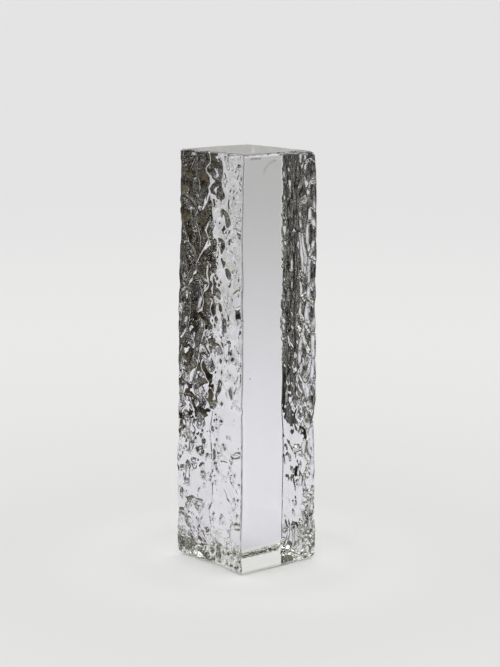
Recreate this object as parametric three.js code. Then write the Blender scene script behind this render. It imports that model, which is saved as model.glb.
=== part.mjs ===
// A solid block of clear cast glass that stands on its ground base.
//
// Two opposite sides, -X and +X, carry the bark-like relief of the mould they were poured against. The other two, -Y
// and +Y, and both ends are flat and polished. Every side leans in a little towards the top, which is the draft that
// let the block out of its mould.
//
// Millimetres, +Z up. The origin is the middle of the base, and -Y is the front.

import * as THREE from "three";

// The block.
const HEIGHT = 300;
const WIDTH = 72.4; // at the base, over the highest points of the two cast faces
const DEPTH = 73.4; // at the base, between the two polished faces
const DRAFT_DEGREES = 0.32; // how far each side leans in towards the top

// Its rounded edges. The glass ran into one side of the mould less sharply, so the edges at the two ends of the right
// cast face are the softest.
const UPRIGHT_EDGE_RADIUS = 1.2;
const POLISHED_TOP_RADIUS = 2.2;
const FRONT_BASE_RADIUS = 1.8;
const BACK_BASE_RADIUS = 4.5;
const LEFT_TOP_RADIUS = 1.6;
const LEFT_BASE_RADIUS = 3.4;
const RIGHT_TOP_RADIUS = 6.5;
const RIGHT_BASE_RADIUS = 5.5;

// The relief of the cast faces: three layers of long hollows pressed one into another. In each layer the hollows lie
// one to a cell, shifted, turned and sized by chance, and deeper ones are also broader.
const SWELLS = { cellWidth: 30, cellHeight: 46, depth: 1.3, reach: 0.95, lean: 25, salt: 11 };
const SCALES = { cellWidth: 12, cellHeight: 26, depth: 1.1, reach: 0.85, lean: 20, salt: 23 };
const RIPPLES = { cellWidth: 8, cellHeight: 14, depth: 0.5, reach: 0.8, lean: 35, salt: 37 };
const LAYERS = [SWELLS, SCALES, RIPPLES];
const LEFT_FACE = 1; // each cast face has its own pattern
const RIGHT_FACE = 2;

// How finely the surface is divided.
const STEPS_ACROSS = 20; // over each cast face
const STEPS_UP = 88; // between the rounded ends
const STEPS_ROUND_AN_END = 5;
const STEPS_ROUND_AN_EDGE = 2;

const draft = Math.tan(THREE.MathUtils.degToRad(DRAFT_DEGREES));

// A repeatable number from 0 to 1 for one cell of a pattern.
function chance(column, row, salt) {
  let n = Math.imul(column, 374761393) + Math.imul(row, 668265263) + Math.imul(salt, 362437);
  n = Math.imul(n ^ (n >>> 13), 1274126177);
  n = Math.imul(n ^ (n >>> 15), 461845907);
  return ((n ^ (n >>> 16)) >>> 0) / 4294967296;
}

// How deep the hollow of one cell is at a point of the face, from 0 at its rim to its own depth in the middle.
function hollow(across, up, column, row, layer, face) {
  const pick = (use) => chance(column, row, layer.salt * face + use);
  const size = 0.65 + 0.35 * pick(1);
  const turn = THREE.MathUtils.degToRad(layer.lean * (2 * pick(2) - 1));
  const fromMiddleAcross = across - (column + pick(3)) * layer.cellWidth;
  const fromMiddleUp = up - (row + pick(4)) * layer.cellHeight;
  const short = fromMiddleAcross * Math.cos(turn) + fromMiddleUp * Math.sin(turn);
  const long = fromMiddleUp * Math.cos(turn) - fromMiddleAcross * Math.sin(turn);
  const reach = layer.reach * size;
  const away = (short / (layer.cellWidth * reach)) ** 2 + (long / (layer.cellHeight * reach)) ** 2;
  return away < 1 ? layer.depth * size * (1 - away) ** 2 : 0;
}

// How deep all the hollows together are at a point of a cast face.
function relief(across, up, face) {
  let depth = 0;
  for (const layer of LAYERS) {
    const column = Math.floor(across / layer.cellWidth);
    const row = Math.floor(up / layer.cellHeight);
    for (let c = column - 2; c <= column + 2; c++) {
      for (let r = row - 2; r <= row + 2; r++) {
        depth += hollow(across, up, c, r, layer, face);
      }
    }
  }
  return depth;
}

// How far a side draws in at a height, where it rounds over into the base and into the top.
function roundingAt(z, baseRadius, topRadius) {
  const drawIn = (fromEnd, radius) =>
    fromEnd < radius ? radius - Math.sqrt(radius ** 2 - (radius - fromEnd) ** 2) : 0;
  return drawIn(z, baseRadius) + drawIn(HEIGHT - z, topRadius);
}

// The heights of the sections: close together round both ends, and evenly spaced between them.
function sectionHeights() {
  const baseEnd = Math.max(LEFT_BASE_RADIUS, RIGHT_BASE_RADIUS, FRONT_BASE_RADIUS, BACK_BASE_RADIUS);
  const topEnd = Math.max(LEFT_TOP_RADIUS, RIGHT_TOP_RADIUS, POLISHED_TOP_RADIUS);
  const heights = [];
  for (let i = 0; i < STEPS_ROUND_AN_END; i++) {
    heights.push(baseEnd * (1 - Math.cos((i / STEPS_ROUND_AN_END) * (Math.PI / 2))));
  }
  for (let i = 0; i <= STEPS_UP; i++) {
    heights.push(THREE.MathUtils.lerp(baseEnd, HEIGHT - topEnd, i / STEPS_UP));
  }
  for (let i = STEPS_ROUND_AN_END - 1; i >= 0; i--) {
    heights.push(HEIGHT - topEnd * (1 - Math.cos((i / STEPS_ROUND_AN_END) * (Math.PI / 2))));
  }
  return heights;
}

// Where the points of a cast face lie at a height, from the front of the block to its back.
function placesAcross(z) {
  const polishedFace = (baseRadius) => DEPTH / 2 - z * draft - roundingAt(z, baseRadius, POLISHED_TOP_RADIUS);
  const front = UPRIGHT_EDGE_RADIUS - polishedFace(FRONT_BASE_RADIUS);
  const back = polishedFace(BACK_BASE_RADIUS) - UPRIGHT_EDGE_RADIUS;
  return Array.from({ length: STEPS_ACROSS + 1 }, (_, i) => THREE.MathUtils.lerp(front, back, i / STEPS_ACROSS));
}

// How deep the shallowest spot of a cast face is. The face's hollows are measured from there, so that its highest
// point stands at the block's full width.
function shallowest(face) {
  const depths = sectionHeights().flatMap((z) => placesAcross(z).map((y) => relief(y, z, face)));
  return Math.min(...depths);
}

// The points of one cast face at a height. side is -1 for the left face and 1 for the right one.
function castFacePoints(z, side, face, level) {
  const baseRadius = side < 0 ? LEFT_BASE_RADIUS : RIGHT_BASE_RADIUS;
  const topRadius = side < 0 ? LEFT_TOP_RADIUS : RIGHT_TOP_RADIUS;
  const plane = WIDTH / 2 - z * draft - roundingAt(z, baseRadius, topRadius);
  return placesAcross(z).map((y) => new THREE.Vector3(side * (plane + level - relief(y, z, face)), y, z));
}

// The points of the rounded upright edge that joins a cast face's end to a polished face, from the cast face on.
function uprightEdgePoints(castEnd, sideX, sideY) {
  const points = [];
  for (let i = 1; i <= STEPS_ROUND_AN_EDGE; i++) {
    const angle = (i / STEPS_ROUND_AN_EDGE) * (Math.PI / 2);
    const x = castEnd.x - sideX * UPRIGHT_EDGE_RADIUS * (1 - Math.cos(angle));
    const y = castEnd.y + sideY * UPRIGHT_EDGE_RADIUS * Math.sin(angle);
    points.push(new THREE.Vector3(x, y, castEnd.z));
  }
  return points;
}

const leftLevel = shallowest(LEFT_FACE);
const rightLevel = shallowest(RIGHT_FACE);

// The closed outline of the block at a height, anticlockwise seen from above. The polished faces are the two straight
// lines between the upright edges.
function section(z) {
  const right = castFacePoints(z, 1, RIGHT_FACE, rightLevel);
  const left = castFacePoints(z, -1, LEFT_FACE, leftLevel).reverse();
  return [
    ...uprightEdgePoints(right[0], 1, -1).reverse(),
    ...right,
    ...uprightEdgePoints(right.at(-1), 1, 1),
    ...uprightEdgePoints(left[0], -1, 1).reverse(),
    ...left,
    ...uprightEdgePoints(left.at(-1), -1, -1),
  ];
}

// A closed skin over a stack of sections that have the same number of points, with a flat cap on both ends.
function loft(sections) {
  const around = sections[0].length;
  const cap = (points) => {
    const middle = new THREE.Vector3();
    points.forEach((p) => middle.addScaledVector(p, 1 / points.length));
    return middle;
  };
  const points = [...sections.flat(), cap(sections[0]), cap(sections.at(-1))];
  const baseMiddle = points.length - 2;
  const topMiddle = points.length - 1;
  const topRing = (sections.length - 1) * around;
  const triangles = [];
  for (let j = 0; j < around; j++) {
    const next = (j + 1) % around;
    for (let k = 0; k < sections.length - 1; k++) {
      const low = k * around;
      const high = low + around;
      triangles.push(low + j, low + next, high + next);
      triangles.push(low + j, high + next, high + j);
    }
    triangles.push(baseMiddle, next, j);
    triangles.push(topMiddle, topRing + j, topRing + next);
  }
  const geometry = new THREE.BufferGeometry().setFromPoints(points);
  geometry.setIndex(triangles);
  return geometry;
}

// Stands a solid with the middle of its outline over the origin.
function centred(geometry) {
  geometry.computeBoundingBox();
  const middle = geometry.boundingBox.getCenter(new THREE.Vector3());
  geometry.translate(-middle.x, -middle.y, 0);
  geometry.computeVertexNormals();
  return geometry;
}

const clearGlass = new THREE.MeshPhysicalMaterial({
  color: 0xf3f5f1,
  roughness: 0.02,
  metalness: 0,
  transmission: 1,
  ior: 1.56,
  thickness: WIDTH,
});

const glassBlock = new THREE.Mesh(centred(loft(sectionHeights().map(section))), clearGlass);
glassBlock.name = "glass_block";

const block = new THREE.Group();
block.add(glassBlock);

export default block;
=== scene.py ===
import math

import bpy
from mathutils import Matrix, Vector


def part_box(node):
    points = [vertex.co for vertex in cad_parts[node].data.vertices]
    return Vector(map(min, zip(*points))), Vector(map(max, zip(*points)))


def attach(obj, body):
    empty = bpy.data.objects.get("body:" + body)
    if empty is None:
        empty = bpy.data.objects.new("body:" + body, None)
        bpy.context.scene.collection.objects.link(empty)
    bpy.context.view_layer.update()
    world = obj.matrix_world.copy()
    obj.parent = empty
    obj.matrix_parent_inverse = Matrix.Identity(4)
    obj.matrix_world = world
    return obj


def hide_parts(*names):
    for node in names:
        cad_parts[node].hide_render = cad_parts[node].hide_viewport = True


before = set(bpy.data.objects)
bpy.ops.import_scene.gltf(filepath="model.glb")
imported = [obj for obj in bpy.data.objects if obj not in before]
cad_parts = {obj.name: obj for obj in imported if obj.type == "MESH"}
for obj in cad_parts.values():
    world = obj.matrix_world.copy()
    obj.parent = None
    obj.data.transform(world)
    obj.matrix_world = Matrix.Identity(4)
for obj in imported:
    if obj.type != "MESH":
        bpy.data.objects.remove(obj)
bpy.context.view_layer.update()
bpy.ops.object.select_all(action="DESELECT")


# The block's body: one solid pour of clear glass, a little narrower at the top so that it left its mould.
# The two ends and two of the sides are ground flat and polished, and meet at small roundings. The other two
# sides, left and right, are as cast, and their grid of faces is fine enough for the relief that comes next.

low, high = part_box("glass_block")
block_width, block_depth, block_height = high - low
draft = math.tan(math.radians(0.32))  # how far each side leans in over a metre of height

upright_edge_radius = 0.0012
front_base_radius, back_base_radius, ground_top_radius = 0.0018, 0.0045, 0.0022
base_reach, top_reach = 0.0055, 0.0065  # the heights over which the softest roundings of the cast sides run
rounding_steps = 9
cuts_across = 100  # of the fine grid on the cast sides, the most that one subdivision makes
cuts_up = 18  # made twice over, so that the body has 361 rows
cuts_along_the_ends = 84
base_zone, top_zone = 0.006, 0.003  # how far from the two ends the ground sides get those cuts


def half_depth(z, base_radius):
    """How far a ground side stands from the middle at a height, with its draft and its roundings."""
    reach = block_depth / 2 - z * draft
    for from_end, radius in ((z, base_radius), (block_height - z, ground_top_radius)):
        if from_end < radius:
            reach -= radius - math.sqrt(radius**2 - (radius - from_end) ** 2)
    return reach


def section(z):
    """The width and depth of the block at a height, and how far its middle lies back."""
    front, back = half_depth(z, front_base_radius), half_depth(z, back_base_radius)
    return block_width - 2 * z * draft, front + back, (back - front) / 2


quarter = [math.pi / 2 * i / rounding_steps for i in range(rounding_steps)]
heights = [base_reach * (1 - math.cos(turn)) for turn in quarter]
heights += [base_reach, block_height - top_reach]
heights += [block_height - top_reach * (1 - math.cos(turn)) for turn in reversed(quarter)]

width, depth, back_shift = section(0)
bpy.ops.mesh.primitive_plane_add(size=1)
block = bpy.context.object
block.name = "cast_glass_block"
bpy.ops.object.mode_set(mode="EDIT")
bpy.ops.transform.resize(value=(width, depth, 1))
bpy.ops.transform.translate(value=(0, back_shift, 0))
bpy.ops.mesh.bevel(offset=upright_edge_radius, segments=4, profile=0.5, affect="VERTICES")
bpy.ops.mesh.select_all(action="SELECT")
for below, above in zip(heights, heights[1:]):
    new_width, new_depth, new_back_shift = section(above)
    rise = (0, new_back_shift - back_shift, above - below)
    bpy.ops.mesh.extrude_region_move(TRANSFORM_OT_translate={"value": rise})
    narrowing = (new_width / width, new_depth / depth, 1)
    bpy.ops.transform.resize(value=narrowing, center_override=(0, new_back_shift, above))
    width, depth, back_shift = new_width, new_depth, new_back_shift
bpy.ops.mesh.select_all(action="SELECT")
bpy.ops.mesh.normals_make_consistent(inside=False)


def select_edges(test):
    """Selects the block's edges whose two ends pass a test, and no others."""
    bpy.ops.mesh.select_all(action="DESELECT")
    bpy.ops.mesh.select_mode(type="EDGE")
    bpy.ops.object.mode_set(mode="OBJECT")
    corners = block.data.vertices
    for edge in block.data.edges:
        edge.select = test(*(corners[i].co for i in edge.vertices))
    bpy.ops.object.mode_set(mode="EDIT")


def along_an_end(a, b):
    """Whether an edge runs along a ground side near the base, or along the front one near the top."""
    runs_along = abs(a.x - b.x) > block_width / 2
    return runs_along and (a.z < base_zone or a.y < 0 and a.z > block_height - top_zone)


body_height = block_height - top_reach - base_reach
for tall_edge in (body_height / 2, body_height / cuts_up / 2):
    select_edges(lambda a, b: abs(a.z - b.z) > tall_edge)
    bpy.ops.mesh.subdivide(number_cuts=cuts_up)
select_edges(lambda a, b: abs(a.z - b.z) < 1e-6 and abs(a.y - b.y) > block_depth / 2)
bpy.ops.mesh.subdivide(number_cuts=cuts_across)
select_edges(along_an_end)
bpy.ops.mesh.subdivide(number_cuts=cuts_along_the_ends)
bpy.ops.object.mode_set(mode="OBJECT")
bpy.ops.object.shade_smooth()


# The relief of the two cast sides: the glass took the print of rough, bark-like mould plates, whose long
# scales run up the block. Broad hollows come from the plates themselves, and small folds from the chilled skin
# of the glass. Its patterns are laid out in centimetres along a side and up it, its depths in millimetres.

cm, mm = 0.01, 0.001
steepest = 1.5  # the slope at the middle of an eased step, as a multiple of a straight one's


class Number:
    """A number that varies over a surface. Arithmetic on it adds Math nodes."""

    def __init__(self, nodes, socket):
        self.nodes, self.socket = nodes, socket

    def __add__(self, other):
        return self.nodes.maths("ADD", self, other)

    def __radd__(self, other):
        return self.nodes.maths("ADD", other, self)

    def __sub__(self, other):
        return self.nodes.maths("SUBTRACT", self, other)

    def __rsub__(self, other):
        return self.nodes.maths("SUBTRACT", other, self)

    def __mul__(self, other):
        return self.nodes.maths("MULTIPLY", self, other)

    def __rmul__(self, other):
        return self.nodes.maths("MULTIPLY", other, self)

    def __truediv__(self, other):
        return self.nodes.maths("DIVIDE", self, other)

    def __pow__(self, other):
        return self.nodes.maths("POWER", self, other)


class Nodes:
    """A node tree to which nodes are added by their type, settings and inputs."""

    def __init__(self, tree):
        self.tree = tree

    def node(self, kind, settings=None, inputs=(), output=0):
        """Adds a node and gives one of its outputs. Inputs go by order, or by name in a dict."""
        node = self.tree.nodes.new(kind)
        for name, value in (settings or {}).items():
            setattr(node, name, value)
        pairs = inputs.items() if isinstance(inputs, dict) else enumerate(inputs)
        for key, value in pairs:
            if isinstance(value, Number):
                self.tree.links.new(value.socket, node.inputs[key])
            else:
                node.inputs[key].default_value = value
        return Number(self, node.outputs[output])

    def maths(self, operation, *numbers):
        return self.node("ShaderNodeMath", {"operation": operation}, numbers)

    def also(self, number, output):
        """Another output of the node that a number comes from."""
        return Number(self, number.socket.node.outputs[output])

    def parts(self, vector):
        """The three parts of a vector or a colour."""
        first = self.node("ShaderNodeSeparateXYZ", None, [vector])
        return first, self.also(first, 1), self.also(first, 2)

    def joined(self, x, y, z):
        return self.node("ShaderNodeCombineXYZ", None, [x, y, z])

    def vector(self, operation, first, second, output=0):
        return self.node("ShaderNodeVectorMath", {"operation": operation}, [first, second], output)

    def mixed_color(self, share, first, second):
        return self.node("ShaderNodeMix", {"data_type": "RGBA"}, {0: share, 6: first, 7: second}, 2)

    def eased(self, value, start, end, low=0.0, high=1.0):
        """A smooth change from low to high, as a value goes from start to end."""
        ends = {"Value": value, "From Min": start, "From Max": end, "To Min": low, "To Max": high}
        return self.node("ShaderNodeMapRange", {"interpolation_type": "SMOOTHSTEP"}, ends)

    def shifted(self, place, across, up):
        """A place moved along, so that a pattern laid out on it has a draw of its own."""
        return self.vector("ADD", place, (across, up, 0))

    def noise(self, place, scale, detail=0.0):
        inputs = {"Vector": place, "Scale": scale, "Detail": detail}
        return self.node("ShaderNodeTexNoise", {"noise_dimensions": "2D"}, inputs, "Fac")

    def wandering(self, place, scale, across, up):
        """A place moved by a noise of a scale, by up to about half of across and up."""
        inputs = {"Vector": place, "Scale": scale, "Detail": 1.0}
        noise = self.node("ShaderNodeTexNoise", {"noise_dimensions": "2D"}, inputs, "Color")
        noise = self.vector("SUBTRACT", noise, (0.5, 0.5, 0.5))
        return self.vector("ADD", place, self.vector("MULTIPLY", noise, (across, up, 0.0)))

    def cells(self, place, across, up, feature="F1", **more):
        """The place in cells about as wide and tall as given, and the Voronoi distance there."""
        scaled = self.vector("MULTIPLY", place, (1 / across, 1 / up, 0.0))
        settings = {"voronoi_dimensions": "2D", "feature": feature}
        distance = self.node("ShaderNodeTexVoronoi", settings, {"Vector": scaled, "Scale": 1.0, **more})
        return scaled, distance

    def dents(self, place, width, height, kept, radius, aspect, lean, rim, slope):
        """The depth of scattered oval dents, in metres, with one to a cell at the most.

        Cells are width by height. A cell whose chance number is above kept has a dent: its radius is up to
        the given share of the cell, it is up to aspect times as long as wide, and it is turned by up to lean.
        The dent's wall takes up the rim share of its radius, and is as steep as slope.
        """
        least = 0.001  # keeps an empty cell from dividing by nothing
        scaled, distance = self.cells(place, width, height)
        pick_turn, pick_size, pick_long = self.parts(self.also(distance, "Color"))
        own_radius = self.eased(pick_size, kept, 1.0, 0.0, radius)
        away = self.vector("SUBTRACT", scaled, self.also(distance, "Position"))
        turned = {"Vector": away, "Angle": (pick_turn - 0.5) * (2 * lean)}
        away = self.node("ShaderNodeVectorRotate", {"rotation_type": "Z_AXIS"}, turned)
        short, long, _ = self.parts(away)
        long = long / (1 + pick_long * (aspect - 1))
        reach = (short * short + long * long) ** 0.5 / (own_radius + least)
        inside = self.eased(reach, 1 - rim, 1.0, 1.0, 0.0)
        return inside * own_radius * (slope * rim * width * cm / steepest)


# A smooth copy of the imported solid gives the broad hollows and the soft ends. It is only a former, and is
# thrown away once the block has taken its shape.
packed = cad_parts["glass_block"]
former = packed.copy()
former.data = packed.data.copy()
former.parent = None
bpy.context.collection.objects.link(former)
bpy.context.view_layer.objects.active = former
former.select_set(True)
bpy.ops.object.mode_set(mode="EDIT")
bpy.ops.mesh.select_all(action="SELECT")
bpy.ops.mesh.remove_doubles(threshold=1e-6)
bpy.ops.mesh.tris_convert_to_quads()
bpy.ops.object.mode_set(mode="OBJECT")
smoothing = former.modifiers.new("smooth", "SUBSURF")
smoothing.levels = smoothing.render_levels = 2
bpy.ops.object.modifier_apply(modifier=smoothing.name)
former.select_set(False)

group = bpy.data.node_groups.new("cast_relief", "GeometryNodeTree")
group.interface.new_socket("Geometry", in_out="INPUT", socket_type="NodeSocketGeometry")
group.interface.new_socket("Geometry", in_out="OUTPUT", socket_type="NodeSocketGeometry")
relief = Nodes(group)
mesh_in = relief.node("NodeGroupInput")
x, y, z = relief.parts(relief.node("GeometryNodeInputPosition"))
side = relief.maths("SIGN", x)  # -1 on the left side and 1 on the right one
on_right = (side + 1) * 0.5
flat_half_depth = block_depth / 2 - upright_edge_radius - z * draft
flat_y = relief.maths("MAXIMUM", relief.maths("MINIMUM", y, flat_half_depth), -1 * flat_half_depth)

# The broad hollows: how far inside a flat side the former's skin lies, found by a level ray from outside.
# Where a side has no bark they are softened, but the former's roundings at the two ends stay.
ray_length = 0.1
skin = 0.0001  # how far below the top and above the base the rays stay
soft_from = (0.006, 0.012)  # in height, from either end
soften_rounds = 80
inner_z = relief.maths("MAXIMUM", relief.maths("MINIMUM", z, block_height - skin), skin)
ray = {
    "Target Geometry": relief.node(
        "GeometryNodeObjectInfo", {"transform_space": "ORIGINAL"}, {"Object": former}, "Geometry"
    ),
    "Source Position": relief.joined(side * ray_length, flat_y, inner_z),
    "Ray Direction": relief.joined(side * -1, 0, 0),
    "Ray Length": ray_length,
}
hit = relief.node("GeometryNodeRaycast", {"data_type": "FLOAT"}, ray, "Hit Distance")
broad = (block_width / 2 - z * draft) - (ray_length - hit)
from_end = relief.maths("MINIMUM", z, block_height - z)
soften = {"Value": broad, "Iterations": soften_rounds, "Weight": relief.eased(from_end, *soft_from)}
soft = relief.node("GeometryNodeBlurAttribute", {"data_type": "FLOAT"}, soften)

# Places on a cast side, far enough apart on the two sides that their patterns differ, and bent so that
# nothing laid out on them runs straight.
sides_apart = 31.7
face = relief.joined(flat_y * (1 / cm) + side * sides_apart, z * (1 / cm), 0)
bent = relief.wandering(face, scale=0.45, across=1.0, up=1.5)
bark_place = relief.wandering(bent, scale=1.6, across=0.25, up=0.4)
dent_place = relief.wandering(face, scale=1.8, across=0.16, up=0.2)

# How much bark there is at a place, from 0 to 1. There is more of it higher up, and more towards the left
# side's back and the right side's front, and it ends in an uneven line. Close to the base both sides are busy
# all over.
right_folds_from = (0.09, 0.14)
busy_base_up_to, busy_base_share = (0.012, 0.026), 0.9
more_bark_at_the_edge, more_bark_higher_up, more_bark_on_the_right = 0.55, 0.25, 0.06
bark_step_at, bark_step = (0.085, 0.125), (-0.08, 0.12)
bark_from = (0.49, 0.67)
less_bark_on_upper_right = 0.45
upper_right = on_right * relief.eased(z, *right_folds_from)
lower_right = on_right - upper_right
near_base = relief.eased(z, *busy_base_up_to, busy_base_share, 0.0)
towards_edge = side * -1 * (flat_y / block_depth) + 0.5  # 1 at the left side's back and the right one's front
barked = relief.noise(relief.shifted(face, 9, 4), scale=0.9)
barked = barked + (towards_edge - 0.5) * more_bark_at_the_edge
barked = barked + (z / block_height - 0.5) * more_bark_higher_up + side * more_bark_on_the_right
barked = barked + relief.eased(z, *bark_step_at, *bark_step)
barked = relief.eased(barked, *bark_from)
barked = relief.maths("MAXIMUM", barked * (1 - upper_right * less_bark_on_upper_right), near_base)

# The bark itself: shallow plates of uneven height, with a fold between them and smaller bowls all over them.
plate_width, plate_height, plate_rounding, plate_depth = 1.5, 3.4, 0.15, 0.3
fold_reach, fold_slope = 0.20, 1.2
bowl_width, bowl_height, bowl_rise, bowl_depth = 1.1, 2.4, 1.6, 0.55


def bark(place):
    """How deep the bark is at a place, in metres."""
    _, plates = relief.cells(place, plate_width, plate_height, "SMOOTH_F1", Smoothness=plate_rounding)
    plates = relief.parts(relief.also(plates, "Color"))[0] * (plate_depth * mm)
    _, from_border = relief.cells(place, plate_width, plate_height, "DISTANCE_TO_EDGE")
    fold_depth = fold_slope * fold_reach * plate_width * cm / steepest
    folds = relief.eased(from_border, 0, fold_reach, fold_depth, 0.0)
    _, from_middle = relief.cells(place, bowl_width, bowl_height)
    bowls = (1 - from_middle * from_middle * bowl_rise) * (bowl_depth * mm)
    return plates + folds + bowls


# On the front half of the right side's upper part, and round its base, the bark is squat.
squatter_by = 1.8
squat_from, squat_most = (0.010, -0.004), 0.8  # from behind the middle to in front of it
squat_place = relief.vector("MULTIPLY", bark_place, (1, squatter_by, 0))
squat_share = upper_right * relief.eased(flat_y, *squat_from, 0.0, squat_most)
squat_share = relief.maths("MAXIMUM", squat_share, near_base * on_right)

# Low ribs up the right side's upper part.
rib_width, rib_length, rib_depth = 0.6, 1.3, 1.0
rib_place = relief.vector("MULTIPLY", dent_place, (1 / rib_width, 1 / rib_length, 0))
ribs = (relief.noise(rib_place, scale=1.0, detail=1.0) - 0.5) * (2 * rib_depth * mm) * upper_right

# The dents: middling and little ones in loose patches where there is less bark, single ones low on the right
# side, which are shallow towards its back, and close ones along the base.
less_dented_in_bark = 0.85
fewer_little_on_the_right = 0.7
shallow_from, shallow_share = (0.0, 0.025), 0.3
middling_patch_from, little_patch_from = (0.42, 0.53), (0.42, 0.54)
above_base = 1 - near_base
middling = relief.dents(
    relief.shifted(dent_place, 3, 7),
    width=0.8, height=0.9, kept=0.6, radius=0.40, aspect=2.2, lean=0.9, rim=0.7, slope=1.1,
)
patches = relief.noise(relief.shifted(face, 2, 8), scale=0.7)
patches = relief.eased(patches, *middling_patch_from) * above_base
middling = middling * patches * (1 - barked * less_dented_in_bark) * (1 - upper_right)
little = relief.dents(
    dent_place,
    width=0.40, height=0.45, kept=0.45, radius=0.42, aspect=1.9, lean=1.2, rim=0.8, slope=1.4,
)
patches = relief.noise(relief.shifted(face, 6, 1), scale=0.9)
patches = relief.eased(patches, *little_patch_from) * above_base
little = little * patches * (1 - barked * less_dented_in_bark)
little = little * (1 - on_right * fewer_little_on_the_right) * (1 - upper_right)
single = relief.dents(
    relief.shifted(dent_place, 5, 11),
    width=1.5, height=0.75, kept=0.3, radius=0.42, aspect=1.1, lean=0.6, rim=0.3, slope=2.0,
)
single = single * lower_right * above_base * relief.eased(flat_y, *shallow_from, 1.0, shallow_share)
left_base = relief.dents(
    relief.shifted(dent_place, 7, 3),
    width=0.8, height=0.6, kept=0.2, radius=0.5, aspect=1.2, lean=1.5, rim=1.0, slope=1.6,
)
right_base = relief.dents(
    relief.shifted(dent_place, 7, 3),
    width=1.3, height=0.5, kept=0.2, radius=0.5, aspect=1.1, lean=0.6, rim=0.5, slope=1.6,
)
base_dents = left_base * near_base * (1 - on_right) + right_base * near_base * on_right

# The patches of dents are calmer low down, bark and patches are calmer at the right side's back, and all of
# it is calmer along the upright edges.
low_calm_to, low_share = (0.05, 0.12), 0.6
back_calm_from, back_calm = (-0.004, 0.012), 0.4
edge_reach, edge_calm = 0.006, 0.7
near_edge = relief.eased(relief.maths("ABSOLUTE", flat_y), flat_half_depth - edge_reach, flat_half_depth)
patched = (middling + little) * relief.eased(z, *low_calm_to, low_share, 1.0)
fine = bark(bark_place) * barked * (1 - squat_share) + bark(squat_place) * squat_share + patched
fine = fine * (1 - on_right * relief.eased(flat_y, *back_calm_from) * back_calm)
fine = fine + single + base_dents + ribs
fine = fine * (1 - near_edge * edge_calm)

# A row of small hollows along the right side's back edge, over its upper half.
bead_size, bead_stretch, bead_depth = 0.4, 0.6, 1.5
bead_contrast = (0.35, 0.65)
bead_edge_from, bead_edge_to = 0.006, 0.002  # from where the upright edge's rounding starts
beads_up_from = (0.13, 0.16)
bead_place = relief.shifted(relief.vector("MULTIPLY", face, (bead_stretch, 1, 0)), 2, 40)
beads = relief.eased(relief.noise(bead_place, scale=1 / bead_size, detail=1.0), *bead_contrast)
bead_edge = relief.eased(flat_y, flat_half_depth - bead_edge_from, flat_half_depth - bead_edge_to)
beads = beads * on_right * bead_edge * relief.eased(z, *beads_up_from) * (bead_depth * mm)

# The cast sides move in by all of this, less a constant that keeps the block's width. The move is sideways
# only, so that the polished sides and the two ends stay flat, and it dies out towards the block's middle.
sharp_share_on_upper_right = 0.5
outward = 0.0015
cast_from = (0.008, block_width / 2 - 0.003)  # from the block's middle
sharpness = relief.maths("MAXIMUM", barked, upper_right * sharp_share_on_upper_right)
broad = soft + (broad - soft) * sharpness
near_cast = relief.eased(relief.maths("ABSOLUTE", x), *cast_from)
inward = (broad + fine + beads - outward) * side * -1 * near_cast

# Small flutes in the back edge of the base, and the top's uneven front edge, which dips where it lies further
# back.
flute_width, flute_depth = 0.35, 0.5
flute_from, flute_up_to = (block_depth / 2 - 0.006, block_depth / 2 - 0.003), 0.006
flute = relief.noise(relief.joined(x * (1 / cm), 0, 0), scale=1 / flute_width, detail=1.0)
flute = (flute - 0.5) * (flute_depth * mm * 2)
flute = flute * relief.eased(y, *flute_from) * relief.eased(z, 0.0, flute_up_to, 1.0, 0.0)

wave_length, wave_depth, wave_dip = 0.5, 1.2, 0.3
wave_contrast = (0.35, 0.75)
wave_reach_down = 0.0025
wave_reach_back = (0.003 - block_depth / 2, 0.005 - block_depth / 2)
wave = relief.noise(relief.joined(x * (1 / cm), 5, 0), scale=1 / wave_length, detail=1.0)
wave = relief.eased(wave, *wave_contrast) * (wave_depth * mm)
wave = wave * relief.eased(z, block_height - wave_reach_down, block_height)
wave = wave * relief.eased(y, *wave_reach_back, 1.0, 0.0)
below_top = relief.maths("LESS_THAN", z, block_height - 0.00005)

offset = relief.joined(inward, wave - flute, wave * -wave_dip * below_top)
shaped = relief.node("GeometryNodeSetPosition", None, {"Geometry": mesh_in, "Offset": offset})
mesh_out = group.nodes.new("NodeGroupOutput")
group.links.new(shaped.socket, mesh_out.inputs[0])

bpy.context.view_layer.objects.active = block
block.select_set(True)
shaping = block.modifiers.new("cast_relief", "NODES")
shaping.node_group = group
bpy.ops.object.modifier_apply(modifier=shaping.name)
even_normals = block.modifiers.new("even_normals", "WEIGHTED_NORMAL")
even_normals.weight = 50
bpy.ops.object.modifier_apply(modifier=even_normals.name)
bpy.data.objects.remove(former)


# The glass: clear and free of bubbles, with a faint tint that shows only where it is thick. Specks and two
# thin curved strokes of rust lie on the polished front, as faint marks with no thickness of their own.

clear_glass = bpy.data.materials.new("clear_glass")
clear_glass.use_nodes = True
glass_tree = clear_glass.node_tree
glass = Nodes(glass_tree)
glass_shader = glass_tree.nodes["Principled BSDF"]
glass_shader.inputs["Base Color"].default_value = (1, 1, 1, 1)
glass_shader.inputs["Roughness"].default_value = 0
glass_shader.inputs["IOR"].default_value = 1.56
glass_shader.inputs["Transmission Weight"].default_value = 1
tint = glass.node("ShaderNodeVolumeAbsorption", None, {"Color": (0.90, 0.93, 0.80, 1), "Density": 3.5})
glass_tree.links.new(tint.socket, glass_tree.nodes["Material Output"].inputs["Volume"])

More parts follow.
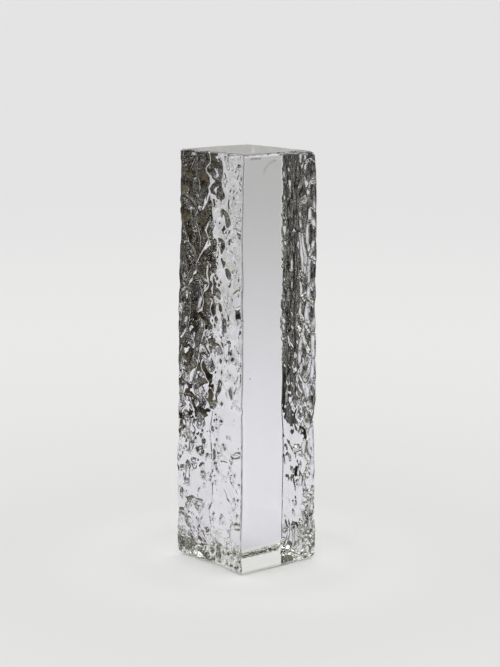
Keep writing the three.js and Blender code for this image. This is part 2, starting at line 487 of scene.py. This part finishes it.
rust = (0.22, 0.075, 0.03, 1)
rust_specks = (  # across, up, radius, strength
    (-0.0104, 0.1916, 0.0009, 0.05), (-0.0089, 0.1810, 0.0012, 0.16), (-0.0089, 0.1731, 0.0012, 0.13),
    (-0.0088, 0.1663, 0.0009, 0.06), (-0.0079, 0.1626, 0.0009, 0.06), (-0.0043, 0.1974, 0.0009, 0.12),
    (-0.0288, 0.1608, 0.0010, 0.12), (-0.0266, 0.1591, 0.0009, 0.10), (-0.0286, 0.1478, 0.0016, 0.12),
    (-0.0284, 0.1421, 0.0012, 0.60), (-0.0218, 0.1297, 0.0010, 0.05), (-0.0010, 0.1400, 0.0009, 0.06),
    (-0.0113, 0.1123, 0.0008, 0.30), (-0.0060, 0.2905, 0.0050, 0.05),
)
rust_strokes = (  # the ring that it is part of, across, up and radius, its two ends, half its width, strength
    (-0.0245, 0.2470, 0.0500, -0.0295, -0.0180, 0.0012, 0.7),
    (-0.0050, 0.2825, 0.0122, -0.0175, -0.0035, 0.0012, 0.4),
)
full_share = 0.3  # of a mark's radius, from which it fades to its rim
stroke_fade = 0.002  # the length over which a stroke fades at its two ends
front_only = -0.030  # the marks are on what lies further forward than this
blotch_contrast = (0.15, 0.5)

glass_x, glass_y, glass_z = glass.parts(glass.node("ShaderNodeTexCoord", None, (), "Object"))
on_front = glass.maths("LESS_THAN", glass_y, front_only)
front_place = glass.joined(glass_x, 0, glass_z)


def mark_near(away, radius, strength):
    return glass.eased(away, radius * full_share, radius, strength, 0.0)


def far_from(across, up):
    return glass.vector("DISTANCE", front_place, (across, 0, up), "Value")


marks = 0.0
for across, up, radius, strength in rust_specks:
    marks = glass.maths("MAXIMUM", marks, mark_near(far_from(across, up), radius, strength))
blotches = glass.noise(glass.joined(glass_x * (1 / cm), glass_z * (1 / cm), 0), scale=3.0, detail=2.0)
blotches = glass.eased(blotches, *blotch_contrast)
for across, up, ring, left_end, right_end, half_width, strength in rust_strokes:
    off_ring = glass.maths("ABSOLUTE", far_from(across, up) - ring)
    stroke = mark_near(off_ring, half_width, strength) * glass.maths("GREATER_THAN", glass_z, up)
    stroke = stroke * glass.eased(glass_x, left_end, left_end + stroke_fade)
    stroke = stroke * glass.eased(glass_x, right_end - stroke_fade, right_end, 1.0, 0.0)
    marks = glass.maths("MAXIMUM", marks, stroke * blotches)
glass_color = glass.mixed_color(marks * on_front, (1, 1, 1, 1), rust)
glass_tree.links.new(glass_color.socket, glass_shader.inputs["Base Color"])
block.data.materials.append(clear_glass)

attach(block, "root")
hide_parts("glass_block")


# The floor: pale paper that runs on without an end and takes the block's shadow, though its tones are painted
# light
# and shade: paler close round the block, which cancels most of that shadow, and lighter and darker further
# out. Only the glass shows the strip of white table that the block stands on, which runs back from it and is
# darker further off, as painted shade.

view_turn = math.radians(40.9)  # of the camera's side, from the ground front towards the left cast side
floor_gap = 0.0003  # the air under a ground base
table_left, table_right = 0.37, 0.46
table_front, table_back = 0.08, 3.0
# The table's tones: painted shade that darkens it further off, where less light falls, over a faint lavender
# tint.
table_painted_shade = ((0.42, (0.797, 0.783, 0.858, 1)), (1.62, (0.468, 0.465, 0.483, 1)))
floor_radius = 90
# The floor's tones: painted light and shade. The palest one, close round the block, cancels most of the
# block's shadow; the others make the floor lighter and darker further out.
floor_painted_light_and_shade = (
    (0.22, (0.88, 0.88, 0.872, 1)), (0.30, (0.785, 0.785, 0.777, 1)), (0.44, (0.722, 0.722, 0.714, 1)),
    (0.95, (0.755, 0.755, 0.750, 1)), (1.60, (0.71, 0.71, 0.71, 1)),
)


def paper(piece, stops):
    """Gives a floor matte paper. Its tone, painted light and shade, goes from stop to stop with the root of
    the way from the block.
    """
    material = bpy.data.materials.new(piece.name)
    material.use_nodes = True
    look = Nodes(material.node_tree)
    shader = material.node_tree.nodes["Principled BSDF"]
    place = look.node("ShaderNodeTexCoord", None, (), "Object")
    root = look.node("ShaderNodeVectorMath", {"operation": "LENGTH"}, [place], "Value") ** 0.5
    start, tone = stops[0]
    for end, next_tone in stops[1:]:
        tone = look.mixed_color(look.eased(root, start, end), tone, next_tone)
        start = end
    material.node_tree.links.new(tone.socket, shader.inputs["Base Color"])
    shader.inputs["Roughness"].default_value = 0.8
    shader.inputs["Specular IOR Level"].default_value = 0.1
    piece.data.materials.append(material)


bpy.ops.mesh.primitive_plane_add(size=1, location=(0, 0, -floor_gap))
table = bpy.context.object
table.name = "table"
bpy.ops.object.mode_set(mode="EDIT")
bpy.ops.transform.resize(value=(table_left + table_right, table_front + table_back, 1))
bpy.ops.transform.translate(value=((table_right - table_left) / 2, (table_back - table_front) / 2, 0))
bpy.ops.object.mode_set(mode="OBJECT")
table.rotation_euler.z = -view_turn
bpy.ops.object.transform_apply(location=True, rotation=True, scale=True)
paper(table, table_painted_shade)
table.visible_camera = False
table.visible_glossy = False
table.visible_diffuse = False
table.visible_shadow = False

below_table = (0, 0, -2 * floor_gap)
bpy.ops.mesh.primitive_circle_add(vertices=96, radius=floor_radius, fill_type="NGON", location=below_table)
far_floor = bpy.context.object
far_floor.name = "floor"
bpy.ops.object.transform_apply(location=True, rotation=True, scale=True)
paper(far_floor, floor_painted_light_and_shade)
far_floor.visible_transmission = False
far_floor.visible_glossy = False


# The studio's light, even and soft on the floor. The glass shows the room round it: a pale backdrop ahead, a
# dim and uneven room to the sides and behind the camera, a light ceiling, and a softbox overhead.

plain_light = 1.02
background = (0.76, 0.76, 0.76)
ahead_from = (0.60, 0.85)  # the cosine of the angle from straight ahead
straight_up_to = (0.25, 0.30)  # in the upward part of a direction, as are the next four
backdrop_low, backdrop_level, backdrop_high = (0.67, 0.66, 0.71), (0.638, 0.630, 0.605), (0.83, 0.82, 0.83)
level_from, high_from = (-0.03, 0.06), (0.12, 0.3)
ceiling_from, ceiling = (0.60, 0.64), (1.1, 1.1, 1.1)
softbox_from, softbox = (0.84, 0.88), (2.0, 2.0, 2.0)
room_dark, room_cool, room_warm = (0.013, 0.0105, 0.008), (0.142, 0.139, 0.147), (0.110, 0.090, 0.064)
warm_from = (-0.3, 0.3)  # from the camera's left to its right
patch_scale, patch_from = 1.7, (0.40, 0.60)
lit_room, lit_from = (0.18, 0.17, 0.15), (0.05, 0.5)
lit_scale, lit_uneven_by = 2.2, 0.7

world = bpy.data.worlds.new("studio")
bpy.context.scene.world = world
world.use_nodes = True
world.node_tree.nodes.clear()
sky = Nodes(world.node_tree)
is_camera = sky.node("ShaderNodeLightPath", None, (), "Is Camera Ray")
is_diffuse = sky.also(is_camera, "Is Diffuse Ray")
direction = sky.node("ShaderNodeTexCoord", None, (), "Generated")


def towards_way(turn):
    """How nearly a direction points along a level one, turned from the back's own by an angle."""
    way = (math.sin(turn), math.cos(turn), 0)
    return sky.vector("DOT_PRODUCT", direction, way, "Value")


def blotchy(scale):
    """A soft noise all round the room."""
    return sky.node("ShaderNodeTexNoise", None, {"Vector": direction, "Scale": scale, "Detail": 2.0}, "Fac")


def glow(color, strength=1.0):
    return sky.node("ShaderNodeBackground", None, {"Color": (*color, 1), "Strength": strength})


def mixed(share, first, second):
    return sky.node("ShaderNodeMixShader", None, [share, first, second])


along = towards_way(view_turn)
sideways = towards_way(view_turn + math.pi / 2)  # + to the right of the camera
upward = sky.parts(direction)[2]
level = (along * along + sideways * sideways) ** 0.5
ahead_share = sky.eased(along / level, *ahead_from)

# A ray that passed through the glass with no reflection meets the backdrop on every side, so that the clear
# block stays clear from wherever it is seen.
unreflected = sky.maths("LESS_THAN", sky.also(is_camera, "Glossy Depth"), 0.5)
straight = unreflected * sky.eased(upward, *straight_up_to, 1.0, 0.0)
ahead_share = sky.maths("MAXIMUM", ahead_share, straight)

backdrop = mixed(sky.eased(upward, *level_from), glow(backdrop_low), glow(backdrop_level))
backdrop = mixed(sky.eased(upward, *high_from), backdrop, glow(backdrop_high))
hue = mixed(sky.eased(sideways, *warm_from), glow(room_cool), glow(room_warm))
room = mixed(sky.eased(blotchy(patch_scale), *patch_from), glow(room_dark), hue)
lit_share = sky.eased(upward + (blotchy(lit_scale) - 0.5) * lit_uneven_by, *lit_from)
room = mixed(lit_share, room, glow(lit_room))
seen_in_glass = mixed(ahead_share, room, backdrop)
seen_in_glass = mixed(sky.eased(upward, *ceiling_from), seen_in_glass, glow(ceiling))
seen_in_glass = mixed(sky.eased(upward, *softbox_from), seen_in_glass, glow(softbox))
lighting = mixed(is_diffuse, seen_in_glass, glow((1, 1, 1), plain_light))
seen = mixed(is_camera, lighting, glow(background))
out = world.node_tree.nodes.new("ShaderNodeOutputWorld")
world.node_tree.links.new(seen.socket, out.inputs["Surface"])


# The camera: a long lens that stands a little above the block's top and looks down on it slightly. Its place
# is given in widths of the block's base, and its turns are small.

picture_height, focal_length = 667, 2000  # in pixels
film_height = 36  # in millimetres
base_width = 0.0706
distance, eye_height = 20.21 * base_width, 5.99 * base_width
pitch, roll, pan = math.radians(10.19), math.radians(0.39), 2.6 / focal_length

camera = bpy.data.cameras.new("camera")
camera.lens, camera.sensor_width = focal_length / picture_height * film_height, film_height
camera_object = bpy.data.objects.new("camera", camera)
bpy.context.collection.objects.link(camera_object)
heading = view_turn + pan
ahead = Vector((math.sin(heading) * math.cos(pitch), math.cos(heading) * math.cos(pitch), -math.sin(pitch)))
right_hand = ahead.cross(Vector((0, 0, 1))).normalized()
overhead = right_hand.cross(ahead)
turned_right = right_hand * math.cos(roll) + overhead * math.sin(roll)
turned_up = overhead * math.cos(roll) - right_hand * math.sin(roll)
stand = Vector((-math.sin(view_turn) * distance, -math.cos(view_turn) * distance, eye_height))
facing = Matrix((turned_right, turned_up, -ahead)).transposed().to_4x4()
camera_object.matrix_world = Matrix.Translation(stand) @ facing
bpy.context.scene.camera = camera_object

bpy.context.scene.view_settings.view_transform = "Standard"
